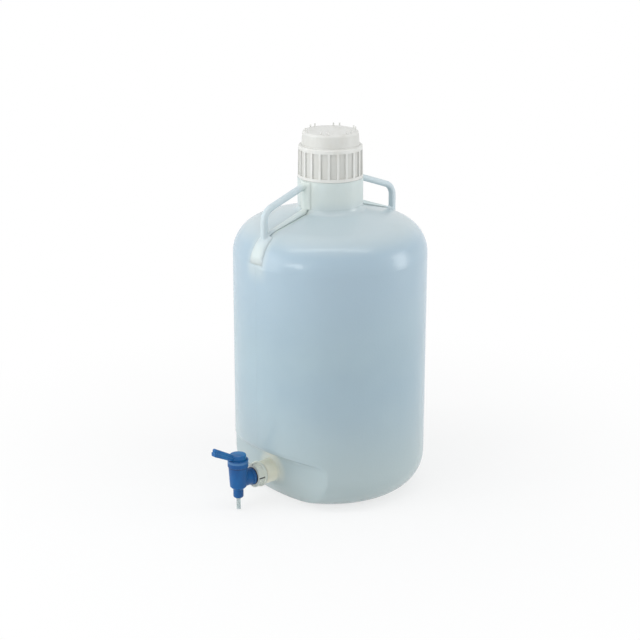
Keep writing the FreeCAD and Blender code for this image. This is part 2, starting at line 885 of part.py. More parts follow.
def make_collar():
    body = new_body("key_retainer", **valve)
    profile = new_sketch(body, "collar_profile", "YZ_Plane")
    draw_outline(profile, [
        (collar_bore, collar_bottom),
        (collar_radius, collar_bottom),
        (collar_radius, lip_high),
        (collar_hole, lip_high),
        (collar_hole, lip_low),
        (collar_bore, lip_low),
    ])
    turned(body, "Revolution", profile)
    return body


def make_seal(label, height):
    """A ring of round section in one of the key's grooves."""
    seal = doc.addObject("Part::Torus", label)
    seal.Label = label
    bind(seal, "Radius1", s.plug_radius - s.seal_section / 2)
    bind(seal, "Radius2", s.seal_section / 2)
    bind(seal, "Placement.Base.y", -valve_distance)
    bind(seal, "Placement.Base.z", s.shank_height + height)
    return seal


def make_tube():
    """The outlet tube, pushed into the nozzle up to a small collar."""
    body = new_body("outlet_tube", **valve)
    end = s.tube_clear - s.shank_height
    collar_high = -(s.nozzle_end + s.seat_gap)
    collar_low = collar_high - s.tube_collar
    profile = new_sketch(body, "tube_profile", "YZ_Plane")
    draw_outline(profile, [
        (s.tube_bore, end),
        (s.tube_radius, end),
        (s.tube_radius, collar_low),
        (s.tube_collar_radius, collar_low),
        (s.tube_collar_radius, collar_high),
        (s.tube_radius, collar_high),
        (s.tube_radius, tube_top),
        (s.tube_bore, tube_top),
    ])
    turned(body, "Revolution", profile)
    return body


pieces = [
    make_bottle(),
    make_handle("front_handle", 0),
    make_handle("rear_handle", 1),
    make_closure(),
    ring("closure_gasket", "Z_Axis", closure_bore - s.gasket_width - 2 * s.running_gap,
         closure_bore - 2 * s.running_gap, gasket_low, gasket_high),
    ring("bushing_gasket", "Y_Axis", bushing_thread + s.fit_gap, bushing_gasket_radius,
         -bushing_back, -boss_face, z=s.shank_height),
    make_bushing(),
    ring("flange_washer", "Y_Axis", thread_bore, washer_radius, -washer_front, -bushing_front,
         z=s.shank_height),
    make_spigot(),
    make_key(),
    make_seal("upper_key_seal", s.seal_above),
    make_seal("lower_key_seal", -s.seal_below),
    make_collar(),
    make_tube(),
]

doc.recompute()
for item in doc.Objects:
    if "Invalid" in item.State or "Error" in item.State:
        raise RuntimeError(f"{item.Label} failed: {item.State}")
for piece in pieces:
    if piece.Shape.isNull() or not piece.Shape.isValid():
        raise RuntimeError(f"{piece.Label} has no valid shape")

os.makedirs("parts", exist_ok=True)
for piece in pieces:
    piece.Shape.exportStep(f"parts/{piece.Label}.step")
    box = piece.Shape.BoundBox
    print(f"{piece.Label}: {len(piece.Shape.Solids)} solid, {piece.Shape.Volume / 1000:.1f} cm3, "
          f"x {box.XMin:.1f} {box.XMax:.1f}, y {box.YMin:.1f} {box.YMax:.1f}, "
          f"z {box.ZMin:.1f} {box.ZMax:.1f}")
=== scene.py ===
import json
import math

import bmesh
import bpy
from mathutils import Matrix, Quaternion, Vector


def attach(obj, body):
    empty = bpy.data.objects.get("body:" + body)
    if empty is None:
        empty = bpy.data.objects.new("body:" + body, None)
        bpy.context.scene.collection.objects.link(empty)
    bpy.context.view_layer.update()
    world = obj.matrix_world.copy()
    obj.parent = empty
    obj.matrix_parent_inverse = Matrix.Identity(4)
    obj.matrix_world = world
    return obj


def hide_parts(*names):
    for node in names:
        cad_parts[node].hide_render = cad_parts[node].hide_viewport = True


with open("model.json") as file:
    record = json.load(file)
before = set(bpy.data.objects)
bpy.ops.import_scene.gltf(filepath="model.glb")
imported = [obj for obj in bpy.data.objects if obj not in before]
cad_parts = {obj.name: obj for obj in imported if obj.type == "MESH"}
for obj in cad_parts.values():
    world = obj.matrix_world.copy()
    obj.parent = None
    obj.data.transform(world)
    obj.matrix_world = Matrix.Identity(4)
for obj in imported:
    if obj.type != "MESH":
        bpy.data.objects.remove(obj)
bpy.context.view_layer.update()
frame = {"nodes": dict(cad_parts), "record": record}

bl_info = {
    "name": "Dispensing carboy",
    "version": (1, 0, 0),
    "blender": (4, 5, 0),
    "location": "View3D > Sidebar > Carboy",
    "description": "Dresses a dispensing carboy with its closure, handles and stopcock spigot",
    "category": "Object",
}

MM = 0.001
POLYPROPYLENE_IOR = 1.49

# How a copy of a CAD node is merged, and the angle from which its edges are softened.
MERGE = 1e-6
FLATNESS = math.radians(0.6)
CREASE = math.radians(32)

# Shares of the soft edge that the small fittings and the tube get.
FITTING_SHARE = 0.6
TUBE_SHARE = 0.5

# The bottle where the handles run out on it, and the depth over its skin that is crowned, in metres.
SHOULDER_RADIUS = 0.0915
SHOULDER_HEIGHT = 0.3615
SHOULDER_BEND = 0.052
NECK_RADIUS = 0.048
NECK_FOOT = 0.434
SKIN_DEPTH = 0.0042

# Half the turn of a handle's foot and neck strip, and the foot's slopes on the shoulder, in degrees.
FOOT_TURN = 5.5
STRIP_TURN = 12.5
FOOT_LOW = 6.0
FOOT_HIGH = 56.0
FOOT_FADE = 14.0
SLOPE_MARGIN = 1.0

# How squarely the crown of a foot or strip drops to its edges.
CROWN_POWER = 3

# Height of the spigot's shank, in metres, and how fast a handle's web falls away from the bottle's axis.
SPIGOT_HEIGHT = 0.046
WEB_FALL = 0.268

# Share of the thread's length over which its ridge rises and ends, and its least thickness there.
THREAD_FADE = 0.05
THREAD_TIP = 0.05


def paint(red, green, blue):
    """A linear colour from its 0 to 255 screen values."""
    screen = [value / 255 for value in (red, green, blue)]
    return [value / 12.92 if value <= 0.04045 else ((value + 0.055) / 1.055) ** 2.4 for value in screen]


def colour_property(name, description, *screen):
    return bpy.props.FloatVectorProperty(
        name=name, description=description, subtype="COLOR", size=3, min=0, max=1, default=paint(*screen))


def length_property(name, description, millimetres):
    return bpy.props.FloatProperty(
        name=name, description=description, unit="LENGTH", min=0, default=millimetres * MM)


def angle_property(name, description, degrees):
    return bpy.props.FloatProperty(
        name=name, description=description, subtype="ANGLE", default=math.radians(degrees))


def number_property(name, description, least, default):
    return bpy.props.FloatProperty(name=name, description=description, min=least, default=default)


class CarboyColours(bpy.types.PropertyGroup):
    bottle: colour_property("Bottle", "Milky plastic of the shell", 164, 186, 197)
    bottle_deep: colour_property("Bottle, cloudy", "Shell where its plastic is cloudier", 159, 181, 194)
    bottle_low: colour_property("Bottle, low", "Shell near its base", 174, 189, 191)
    bottle_high: colour_property("Bottle, high", "Shell below its shoulder", 165, 187, 202)
    # Lighter shell over the shoulder: painted light from above.
    bottle_shoulder_lit: colour_property("Bottle, shoulder", "Shell over its shoulder", 185, 201, 208)
    bottle_neck: colour_property("Bottle, neck", "Shell where its wall is thick", 203, 215, 214)
    # Cream of the thick plastic round the spigot, made brighter as painted light against the shade of the
    # recess.
    boss: colour_property("Boss", "Thick plastic round the spigot", 240, 238, 218)
    handle: colour_property("Handle", "Whiter plastic of the loop handles", 194, 207, 212)
    handle_foot: colour_property("Handle, foot", "Handle where it runs out on the shoulder", 202, 214, 214)
    # Pale tone of the thick strip plastic, made lighter as painted light against the shade of the handle bar
    # and the webs.
    handle_strip_lit: colour_property("Handle, strip", "Handle where it runs out on the neck", 212, 222, 218)
    closure: colour_property("Closure", "Satin white of the screw closure", 216, 217, 214)
    closure_shade: colour_property("Closure, worn", "Closure where hands soil it", 206, 205, 199)
    # Painted shade for the closure's groove floors and the upper tier's wall.
    closure_painted_shade: colour_property("Closure, groove", "Floors of the closure's grip grooves", 203, 204, 200)
    bushing: colour_property("Bushing", "Milky white of the bushing", 212, 217, 209)
    pale_rubber: colour_property("Pale rubber", "Gaskets", 214, 210, 196)
    dark_rubber: colour_property("Dark rubber", "Washer and key seals", 26, 28, 52)
    spigot: colour_property("Spigot", "Blue of the spigot body", 8, 90, 152)
    spigot_deep: colour_property("Spigot, deep", "Blue in the moulding's flow lines", 6, 78, 139)
    # Lighter than the spigot's blue: painted light from above on the key and lever.
    key: colour_property("Key", "Blue of the key and its lever", 26, 109, 166)
    # Pale blue of rubbed edges, also used as a painted highlight on edges and on the collar's rim.
    blue_rubbed_and_lit: colour_property("Blue, rubbed", "Edges of the blue mouldings", 112, 160, 200)
    tube: colour_property("Tube", "Clear tube", 232, 239, 238)


class CarboySizes(bpy.types.PropertyGroup):
    thread_radius: length_property("Thread radius", "Bottle finish under the thread", 41.0)
    thread_depth: length_property("Thread depth", "How far the thread stands out", 1.6)
    thread_pitch: length_property("Thread pitch", "Rise of the thread in one turn", 6.0)
    thread_low: length_property("Thread start", "Height where the thread starts", 480.0)
    thread_turns: number_property("Thread turns", "Turns of the thread", 0.5, 3.5)
    soft_edge: length_property("Soft edge", "Edge radius of the moulded fittings", 0.45)
    handle_grain: length_property("Handle mesh", "Mesh size of the moulded handles", 0.9)
    handle_blend: bpy.props.IntProperty(
        name="Handle blend",
        description="Smoothing steps that round the handles' corners",
        min=0,
        default=14,
    )


class CarboyStage(bpy.types.PropertyGroup):
    azimuth: angle_property("Azimuth", "Turn of the camera", 48)
    elevation: angle_property("Elevation", "Camera's height angle", 17.6)
    roll: angle_property("Roll", "Lean of the camera to its left", 0.08)
    distance: length_property("Distance", "Camera to the middle of the view", 2500)
    aim_height: length_property("Aim height", "Height of the middle of the view", 254.3)
    aim_left: length_property("Aim left", "Middle of the view, left of the bottle's axis", 14.8)
    lens: number_property("Lens", "Focal length in millimetres", 1, 94.05)
    floor: colour_property("Floor", "Pale floor", 236, 237, 237)
    daylight: number_property("Daylight", "Strength of the even light all round", 0, 0.7)


class Socket:
    """A node's output whose Python operators add Math nodes."""

    def __init__(self, tree, socket):
        self.tree = tree
        self.socket = socket

    def maths(self, operation, *values):
        return self.tree.node("ShaderNodeMath", {"operation": operation}, dict(enumerate(values)))

    def __add__(self, other):
        return self.maths("ADD", self, other)

    def __sub__(self, other):
        return self.maths("SUBTRACT", self, other)

    def __rsub__(self, other):
        return self.maths("SUBTRACT", other, self)

    def __mul__(self, other):
        return self.maths("MULTIPLY", self, other)

    def __pow__(self, other):
        return self.maths("POWER", self, other)

    def __abs__(self):
        return self.maths("ABSOLUTE", self)

    __radd__ = __add__
    __rmul__ = __mul__

    def between(self, low, high):
        """A smooth rise from 0 at low to 1 at high, or a fall where high is the smaller."""
        rise = self.tree.node(
            "ShaderNodeMapRange", {"interpolation_type": "SMOOTHSTEP"},
            {"Value": self, "From Min": min(low, high), "From Max": max(low, high)})
        return rise if low < high else 1 - rise

    def band(self, start, full, fall, end):
        """1 from full to fall, with a smooth rise from start and a smooth drop to end."""
        return self.between(start, full) * self.between(end, fall)


def distance(first, second):
    """The distance from an axis, from the two coordinates across it."""
    return (first ** 2 + second ** 2) ** 0.5


class Tree:
    """A node tree in the making, of a material, of the world or of a modifier."""

    def __init__(self, tree):
        self.tree = tree
        tree.nodes.clear()

    def feed(self, node, inputs):
        """Set or link a node's inputs."""
        for slot, value in inputs.items():
            socket = node.inputs[slot]
            if isinstance(value, Socket):
                self.tree.links.new(value.socket, socket)
            elif socket.type == "RGBA":
                socket.default_value = (*value[:3], 1)
            else:
                socket.default_value = value

    def node(self, kind, settings, inputs, out=0):
        """Add a node: its settings first, then the values or links of its inputs."""
        added = self.tree.nodes.new(kind)
        for name, value in settings.items():
            setattr(added, name, value)
        self.feed(added, inputs)
        return Socket(self, added.outputs[out])

    def end(self, kind, result):
        """Add an output node for a result."""
        self.feed(self.tree.nodes.new(kind), {0: result})

    def seen_directly(self):
        """1 for a ray that the camera, a gloss or a clear piece sends, and 0 for one that carries light."""
        seen = self.node("ShaderNodeLightPath", {}, {}, "Is Camera Ray")
        for name in ("Is Glossy Ray", "Is Transmission Ray"):
            seen = seen.maths("MAXIMUM", seen, self.node("ShaderNodeLightPath", {}, {}, name))
        return seen


class Finish(Tree):
    """A material in the making: a Principled shader and the nodes that feed it."""

    def __init__(self, name, constants):
        self.material = bpy.data.materials.new(name)
        self.material.use_nodes = True
        super().__init__(self.material.node_tree)
        self.surface = self.node("ShaderNodeBsdfPrincipled", {}, constants, "BSDF")
        self.place = self.node("ShaderNodeTexCoord", {}, {}, "Object")

    def axes(self):
        """The three Object coordinates as numbers."""
        split = self.node("ShaderNodeSeparateXYZ", {}, {0: self.place})
        return [Socket(self, output) for output in split.socket.node.outputs]

    def noise(self, scale, stretch=(1, 1, 1), detail=2.0):
        """Soft noise in Object coordinates, slower along an axis whose stretch is small."""
        place = self.node("ShaderNodeMapping", {}, {"Vector": self.place, "Scale": stretch})
        return self.node("ShaderNodeTexNoise", {}, {"Vector": place, "Scale": scale, "Detail": detail})

    def blend(self, factor, first, second):
        """Mix two colours by a factor."""
        return self.node("ShaderNodeMix", {"data_type": "RGBA"}, {0: factor, 6: first, 7: second}, 2)

    def layered(self, colour, *layers):
        """Lay colours over a first one, each by its factor."""
        for factor, tint in layers:
            colour = self.blend(factor, colour, tint)
        return colour

    def edges(self, width):
        """1 along the piece's sharp edges and 0 elsewhere, over a width in metres."""
        soft = self.node("ShaderNodeBevel", {"samples": 6}, {"Radius": width})
        straight = self.node("ShaderNodeNewGeometry", {}, {}, "Normal")
        match = self.node(
            "ShaderNodeVectorMath", {"operation": "DOT_PRODUCT"}, {0: soft, 1: straight}, "Value")
        return match.between(0.995, 0.9)

    def relief(self, height, depth):
        """Feed the shader's normal from a height, whose full range is a depth in metres."""
        bump = self.node("ShaderNodeBump", {}, {"Height": height, "Distance": depth, "Strength": 1.0})
        self.feed(self.surface.socket.node, {"Normal": bump})

    def done(self, colour, roughness, glow=None):
        """Finish the shader, under a glow where one is given as a factor."""
        self.feed(self.surface.socket.node, {"Base Color": colour, "Roughness": roughness})
        result = self.surface
        if glow:
            light = self.node("ShaderNodeEmission", {}, {"Color": (1, 1, 1), "Strength": 1.0})
            result = self.node("ShaderNodeMixShader", {}, {0: glow, 1: self.surface, 2: light})
        self.end("ShaderNodeOutputMaterial", result)
        return self.material


def made_once(build):
    """Keep each material so that pieces of one finish share it."""
    kept = {}

    def shared(colours):
        if build not in kept:
            kept[build] = build(colours)
        return kept[build]

    return shared


def milky(name, weight, tint, depth):
    """A finish of milky polypropylene, with the weight, tint and depth in metres of the light inside it."""
    return Finish(name, {
        "Subsurface Weight": weight,
        "Subsurface Radius": tint,
        "Subsurface Scale": depth,
        "IOR": POLYPROPYLENE_IOR,
    })


@made_once
def bottle_plastic(colours):
    """Natural polypropylene: cloudy, with faint vertical flow lines and an orange-peel skin, and painted
    light over the shoulder, on the boss and beside the handles.
    """
    finish = milky("bottle_plastic", 0.35, (0.9, 1.0, 1.1), 0.012)
    across, along, height = finish.axes()
    cloud = finish.noise(9.0, detail=3.0)
    streak = finish.noise(26.0, stretch=(1, 1, 0.09), detail=3.0)
    peel = finish.noise(330.0, detail=1.0)
    seam = abs(across).between(0.0006, 0.0002)
    beside_handle = abs(across).between(0.026, 0.008)
    # Beside the neck strips the shell is paled partly toward the strip's thick plastic and partly as painted
    # light against the handle bar's shadow.
    strip_blend_and_light = beside_handle * height.between(0.42, 0.445)
    beside_foot = beside_handle * height.band(0.335, 0.365, 0.395, 0.415)
    # Under the webs the shell is lightened as painted light against the contact shade there.
    painted_light_under_web = abs(across).between(0.011, 0.006) * height.band(0.405, 0.41, 0.43, 0.44)
    shank_square = across ** 2 + (height - SPIGOT_HEIGHT) ** 2
    # The shell's boss region, painted brighter against the shade of the recess round it.
    boss = shank_square.between(0.0011, 0.0004) * along.between(-0.112, -0.122)
    colour = finish.layered(
        colours.bottle_deep,
        (cloud.between(0.3, 0.7), colours.bottle),
        (height.between(0.2, 0.0), colours.bottle_low),
        (height.between(0.22, 0.36), colours.bottle_high),
        # Lighter colour over the shoulder, painted light from above.
        (height.between(0.385, 0.41), colours.bottle_shoulder_lit),
        (height.between(0.42, 0.45), colours.bottle_neck),
        (strip_blend_and_light * 0.8, colours.handle_strip_lit),
        (painted_light_under_web * 0.5, colours.handle_strip_lit),
        (beside_foot * 0.5, colours.handle_foot),
        (boss, colours.boss),
    )
    dull_neck = height.between(0.432, 0.444)
    finish.relief(streak * 0.4 + cloud * 0.2 + peel * 0.1 + seam * 0.12, depth=0.0011)
    return finish.done(colour, 0.19 + streak * 0.1 + dull_neck * 0.25)


@made_once
def handle_plastic(colours):
    """Thicker, whiter polypropylene with flow lines along the moulding, and painted light on the neck strips
    and webs.
    """
    finish = milky("handle_plastic", 0.35, (1.0, 1.0, 1.0), 0.006)
    across, along, height = finish.axes()
    cloud = finish.noise(38.0, detail=3.0)
    flow = finish.noise(120.0, stretch=(1, 0.3, 0.3), detail=2.0)
    peel = finish.noise(700.0, detail=1.0)
    foot = height.between(0.405, 0.385) * abs(across).between(0.0135, 0.007)
    # The strip is paler for its thick plastic and as painted light against the bar's shadow; the web is
    # lightened as painted light against its contact shade.
    strip = abs(along).between(0.066, 0.052)
    web = (height + abs(along) * WEB_FALL).between(0.4545, 0.4525) * abs(along).between(0.112, 0.106)
    colour = finish.layered(
        colours.handle,
        (cloud.between(0.35, 0.7) * 0.4, colours.bottle_shoulder_lit),
        (foot, colours.handle_foot),
        (strip + web * (0.5 - strip * 0.5), colours.handle_strip_lit),
    )
    finish.relief(flow * 0.6 + peel * 0.15, depth=0.0005)
    return finish.done(colour, 0.34 + flow * 0.15)


@made_once
def closure_plastic(colours):
    """Satin white polypropylene, a little soiled where hands grip it, with painted shade on its groove
    floors and on the upper tier's wall.
    """
    finish = milky("closure_plastic", 0.08, (1.0, 0.95, 0.9), 0.003)
    across, along, height = finish.axes()
    radius = distance(across, along)
    soil = finish.noise(60.0, detail=4.0)
    grain = finish.noise(900.0, detail=2.0)
    # Groove floors and the upper tier's wall are darkened as painted shade.
    groove = radius.between(0.0463, 0.0455) * height.band(0.4775, 0.4785, 0.515, 0.516)
    tier_wall_shade = radius.between(0.0385, 0.0395) * height.band(0.5215, 0.523, 0.537, 0.5395)
    colour = finish.layered(
        colours.closure,
        (groove + tier_wall_shade * 0.7, colours.closure_painted_shade),
        (soil.between(0.42, 0.75) * 0.5, colours.closure_shade),
    )
    finish.relief(grain * 0.5 + soil * 0.3, depth=0.0002)
    return finish.done(colour, 0.4 + soil * 0.14)


@made_once
def bushing_plastic(colours):
    """Milky polypropylene with a moulded grain, and painted shade in the notches of its rim."""
    finish = milky("bushing_plastic", 0.3, (1.0, 1.0, 0.9), 0.004)
    across, along, height = finish.axes()
    radius = distance(across, height - SPIGOT_HEIGHT)
    cloud = finish.noise(90.0, detail=3.0)
    grain = finish.noise(1300.0, detail=2.0)
    # Darker notch floors: painted shade.
    notch_shade = radius.between(0.0171, 0.0168) * along.band(-0.1529, -0.1525, -0.1437, -0.1433)
    colour = finish.layered(
        colours.bushing,
        (cloud.between(0.4, 0.75) * 0.5, colours.boss),
        (notch_shade * 0.8, colours.dark_rubber),
    )
    finish.relief(grain * 0.5 + cloud * 0.5, depth=0.0002)
    return finish.done(colour, 0.3 + cloud * 0.16)


@made_once
def pale_rubber(colours):
    """Off-white gasket rubber with a talc bloom."""
    finish = Finish("pale_rubber", {"IOR": 1.5})
    bloom = finish.noise(150.0, detail=4.0)
    grain = finish.noise(2400.0, detail=2.0)
    colour = finish.blend(bloom.between(0.35, 0.8) * 0.5, colours.pale_rubber, colours.closure)
    finish.relief(grain, depth=0.0001)
    return finish.done(colour, 0.62 + bloom * 0.2)


@made_once
def dark_rubber(colours):
    """Near-black rubber with a faint blue bloom."""
    finish = Finish("dark_rubber", {"IOR": 1.5})
    bloom = finish.noise(240.0, detail=4.0)
    grain = finish.noise(2600.0, detail=2.0)
    colour = finish.blend(bloom.between(0.45, 0.9) * 0.25, colours.dark_rubber, colours.spigot_deep)
    finish.relief(grain, depth=0.0001)
    return finish.done(colour, 0.5 + bloom * 0.2)


def blue_moulding(name, colours, light, deep):
    """Semi-gloss blue plastic with flow lines, a fine grain, rubbed edges that also carry a painted
    highlight, a painted highlight ring on the collar and a painted shadow at the collar's joint.
    """
    finish = Finish(name, {"IOR": 1.5, "Specular IOR Level": 0.35})
    height = finish.axes()[2]
    flow = finish.noise(55.0, stretch=(1, 1, 0.45), detail=3.0)
    grain = finish.noise(1500.0, detail=2.0)
    rub = finish.noise(300.0, detail=4.0)
    # Edges are paled for rubbed wear and as a painted highlight; the collar gets a painted highlight ring
    # and a painted shadow at its joint.
    rubbed_and_lit_edge = finish.edges(0.0009) * (0.35 + rub.between(0.3, 0.7) * 0.5)
    collar_highlight = height.band(0.0745, 0.0755, 0.078, 0.079)
    collar_joint_shadow = height.band(0.066, 0.0688, 0.069, 0.0694)
    colour = finish.layered(
        deep,
        (flow.between(0.35, 0.68), light),
        (rubbed_and_lit_edge, colours.blue_rubbed_and_lit),
        (collar_highlight * 0.35, colours.blue_rubbed_and_lit),
        (collar_joint_shadow * 0.6, colours.dark_rubber),
    )
    finish.relief(grain * 0.35 + flow * 0.6, depth=0.0003)
    return finish.done(colour, 0.27 + flow * 0.12 + rub * 0.08)


@made_once
def spigot_plastic(colours):
    return blue_moulding("spigot_plastic", colours, colours.spigot, colours.spigot_deep)


# The key is the spigot's blue under a lighter copy of it, painted light from above.
@made_once
def key_plastic(colours):
    return blue_moulding("key_plastic", colours, colours.key, colours.spigot)


@made_once
def tube_plastic(colours):
    """Clear flexible plastic with drawn lines along the tube."""
    finish = Finish("tube_plastic", {"Transmission Weight": 0.75, "IOR": 1.3})
    drawn = finish.noise(900.0, stretch=(1, 1, 0.02), detail=2.0)
    haze = finish.noise(180.0, detail=3.0)
    colour = finish.blend(haze.between(0.3, 0.8) * 0.5, colours.tube, colours.bottle)
    finish.relief(drawn, depth=0.00012)
    return finish.done(colour, 0.16 + haze * 0.16)


FINISHES = {
    "bottle_shell": bottle_plastic,
    "handle_plastic": handle_plastic,
    "closure_plastic": closure_plastic,
    "pale_rubber": pale_rubber,
    "dark_rubber": dark_rubber,
    "bushing_plastic": bushing_plastic,
    "spigot_plastic": spigot_plastic,
    "key_plastic": key_plastic,
    "tube_plastic": tube_plastic,
}
SLOTS = {part["node"]: part["material_slot"] for part in frame["record"]["subparts"]}
BODIES = {node: body for body, nodes in frame["record"]["behaviour"]["bodies"].items() for node in nodes}


def finish_of(context, slot):
    return FINISHES[slot](context.scene.carboy_colours)


def painted(context, node):
    """Give a CAD node that stays in view the finish of its slot."""
    slots = frame["nodes"][node].material_slots
    if not slots:
        raise RuntimeError(f"{node} has no material slot")
    for slot in slots:
        slot.material = finish_of(context, SLOTS[node])


def new_piece(name, mesh):
    piece = bpy.data.objects.new(name, mesh)
    bpy.context.scene.collection.objects.link(piece)
    return piece


def settled(piece):
    """Turn a piece with its modifiers into a plain mesh."""
    shown = piece.evaluated_get(bpy.context.evaluated_depsgraph_get())
    mesh = bpy.data.meshes.new_from_object(shown)
    if not mesh.polygons:
        raise RuntimeError(f"{piece.name} has no faces")
    piece.modifiers.clear()
    piece.data = mesh
    return mesh


def copied(context, node):
    """A merged copy of a CAD node in its place, with its finish."""
    source = frame["nodes"][node].data
    mesh = bpy.data.meshes.new(f"dressed_{node}")
    mesh.from_pydata([v.co[:] for v in source.vertices], [], [p.vertices[:] for p in source.polygons])
    shape = bmesh.new()
    shape.from_mesh(mesh)
    bmesh.ops.remove_doubles(shape, verts=shape.verts, dist=MERGE)
    bmesh.ops.dissolve_limit(shape, angle_limit=FLATNESS, verts=shape.verts, edges=shape.edges)
    for face in shape.faces:
        face.smooth = True
    shape.to_mesh(mesh)
    shape.free()
    mesh.materials.append(finish_of(context, SLOTS[node]))
    return new_piece(f"dressed_{node}", mesh)


def placed(piece, node):
    """Let a copy stand for its CAD node."""
    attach(piece, BODIES[node])
    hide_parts(node)


def dressed(context, node, softness):
    """Dress a CAD node with its sharp edges softened."""
    piece = copied(context, node)
    bevel = piece.modifiers.new("soft_edges", "BEVEL")
    bevel.width = softness
    bevel.segments = 2
    bevel.limit_method = "ANGLE"
    bevel.angle_limit = CREASE
    bevel.use_clamp_overlap = True
    bevel.harden_normals = True
    settled(piece)
    placed(piece, node)


def eased(value, low, high):
    """A smooth rise from 0 at low to 1 at high."""
    share = min(max((value - low) / (high - low), 0), 1)
    return share * share * (3 - 2 * share)


def crowned(point):
    """Sink a point of a handle's foot or neck strip towards the bottle, more so near their edges."""
    across, along, height = point
    radius = math.hypot(across, along)
    turn = abs(math.degrees(math.atan2(across, abs(along))))
    run = radius - SHOULDER_RADIUS
    rise = height - SHOULDER_HEIGHT
    above = math.hypot(run, rise) - SHOULDER_BEND
    slope = math.degrees(math.atan2(rise, run))
    if above < SKIN_DEPTH and FOOT_LOW - SLOPE_MARGIN < slope < FOOT_HIGH + SLOPE_MARGIN:
        crown = 1 - min(turn / FOOT_TURN, 1) ** CROWN_POWER
        keep = crown * eased(slope, FOOT_LOW, FOOT_LOW + FOOT_FADE)
        outward = Vector((run * across / radius, run * along / radius, rise))
        return Vector(point) + outward * (above * (keep - 1) / (SHOULDER_BEND + above))
    if radius < NECK_RADIUS + SKIN_DEPTH and height > NECK_FOOT:
        crown = 1 - min(turn / STRIP_TURN, 1) ** CROWN_POWER
        scale = (NECK_RADIUS + (radius - NECK_RADIUS) * crown) / radius
        return Vector((across * scale, along * scale, height))
    return Vector(point)


def moulded(context, node):
    """Dress a CAD node as one flowing moulding, with its corners filled and rounded."""
    sizes = context.scene.carboy_sizes
    piece = copied(context, node)
    skin = piece.modifiers.new("skin", "REMESH")
    skin.mode = "VOXEL"
    skin.voxel_size = sizes.handle_grain
    skin.use_smooth_shade = True
    flow = piece.modifiers.new("flow", "SMOOTH")
    flow.factor = 0.5
    flow.iterations = sizes.handle_blend
    for vertex in settled(piece).vertices:
        vertex.co = crowned(vertex.co)
    placed(piece, node)


class CARBOY_OT_bottle(bpy.types.Operator):
    """Finish the bottle's shell in milky plastic"""

    bl_idname = "carboy.bottle"
    bl_label = "Bottle"

    def execute(self, context):
        painted(context, "bottle_body")
        return {"FINISHED"}


class CARBOY_OT_handles(bpy.types.Operator):
    """Dress both loop handles as flowing mouldings"""

    bl_idname = "carboy.handles"
    bl_label = "Handles"

    def execute(self, context):
        for node in ("front_handle", "rear_handle"):
            moulded(context, node)
        return {"FINISHED"}


class CARBOY_OT_closure(bpy.types.Operator):
    """Dress the screw closure, and finish its gasket"""

    bl_idname = "carboy.closure"
    bl_label = "Closure"

    def execute(self, context):
        dressed(context, "closure", context.scene.carboy_sizes.soft_edge)
        painted(context, "closure_gasket")
        return {"FINISHED"}


def thread_tree():
    """A node tree that winds a ridge round the bottle's finish."""
    group = bpy.data.node_groups.new("neck_thread", "GeometryNodeTree")
    winding = Tree(group)
    sockets = {}
    for name in ("Radius", "Depth", "Pitch", "Start", "Turns", "Finish"):
        kind = "NodeSocketMaterial" if name == "Finish" else "NodeSocketFloat"
        sockets[name] = group.interface.new_socket(name, in_out="INPUT", socket_type=kind).identifier
    group.interface.new_socket("Thread", in_out="OUTPUT", socket_type="NodeSocketGeometry")
    inlet = group.nodes.new("NodeGroupInput")
    radius, depth, pitch, start, turns, finish = (Socket(winding, inlet.outputs[name]) for name in sockets)
    spiral = winding.node("GeometryNodeCurveSpiral", {}, {
        "Resolution": 96, "Rotations": turns, "Start Radius": radius, "End Radius": radius,
        "Height": pitch * turns, "Reverse": False})
    lift = winding.node("ShaderNodeCombineXYZ", {}, {"Z": start})
    spiral = winding.node("GeometryNodeTransform", {}, {"Geometry": spiral, "Translation": lift})
    along = winding.node("GeometryNodeSplineParameter", {}, {})
    fade = along.band(0.0, THREAD_FADE, 1.0 - THREAD_FADE, 1.0) * (1.0 - THREAD_TIP) + THREAD_TIP
    spiral = winding.node("GeometryNodeSetCurveRadius", {}, {"Curve": spiral, "Radius": fade})
    ridge = winding.node("GeometryNodeCurvePrimitiveCircle", {}, {"Resolution": 10, "Radius": depth})
    mesh = winding.node("GeometryNodeCurveToMesh", {}, {
        "Curve": spiral, "Profile Curve": ridge, "Fill Caps": True})
    mesh = winding.node("GeometryNodeSetShadeSmooth", {}, {"Geometry": mesh})
    mesh = winding.node("GeometryNodeRealizeInstances", {}, {"Geometry": mesh})
    mesh = winding.node("GeometryNodeSetMaterial", {}, {"Geometry": mesh, "Material": finish})
    winding.end("NodeGroupOutput", mesh)
    return group, sockets


class CARBOY_OT_thread(bpy.types.Operator):
    """Wind the screw thread round the bottle's finish"""

    bl_idname = "carboy.thread"
    bl_label = "Neck thread"

    def execute(self, context):
        sizes = context.scene.carboy_sizes
        tree, sockets = thread_tree()
        piece = new_piece("neck_thread", bpy.data.meshes.new("neck_thread"))
        winding = piece.modifiers.new("winding", "NODES")
        winding.node_group = tree
        values = {
            "Radius": sizes.thread_radius,
            "Depth": sizes.thread_depth,
            "Pitch": sizes.thread_pitch,
            "Start": sizes.thread_low,
            "Turns": sizes.thread_turns,
            "Finish": finish_of(context, "bottle_shell"),
        }
        for name, value in values.items():
            winding[sockets[name]] = value
        settled(piece)
        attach(piece, "bottle")
        return {"FINISHED"}


class CARBOY_OT_fitting(bpy.types.Operator):
    """Dress the bushing on the boss, and its gasket and washer"""

    bl_idname = "carboy.fitting"
    bl_label = "Spigot fitting"

    def execute(self, context):
        softness = context.scene.carboy_sizes.soft_edge * FITTING_SHARE
        for node in ("spigot_bushing", "flange_washer", "bushing_gasket"):
            dressed(context, node, softness)
        return {"FINISHED"}


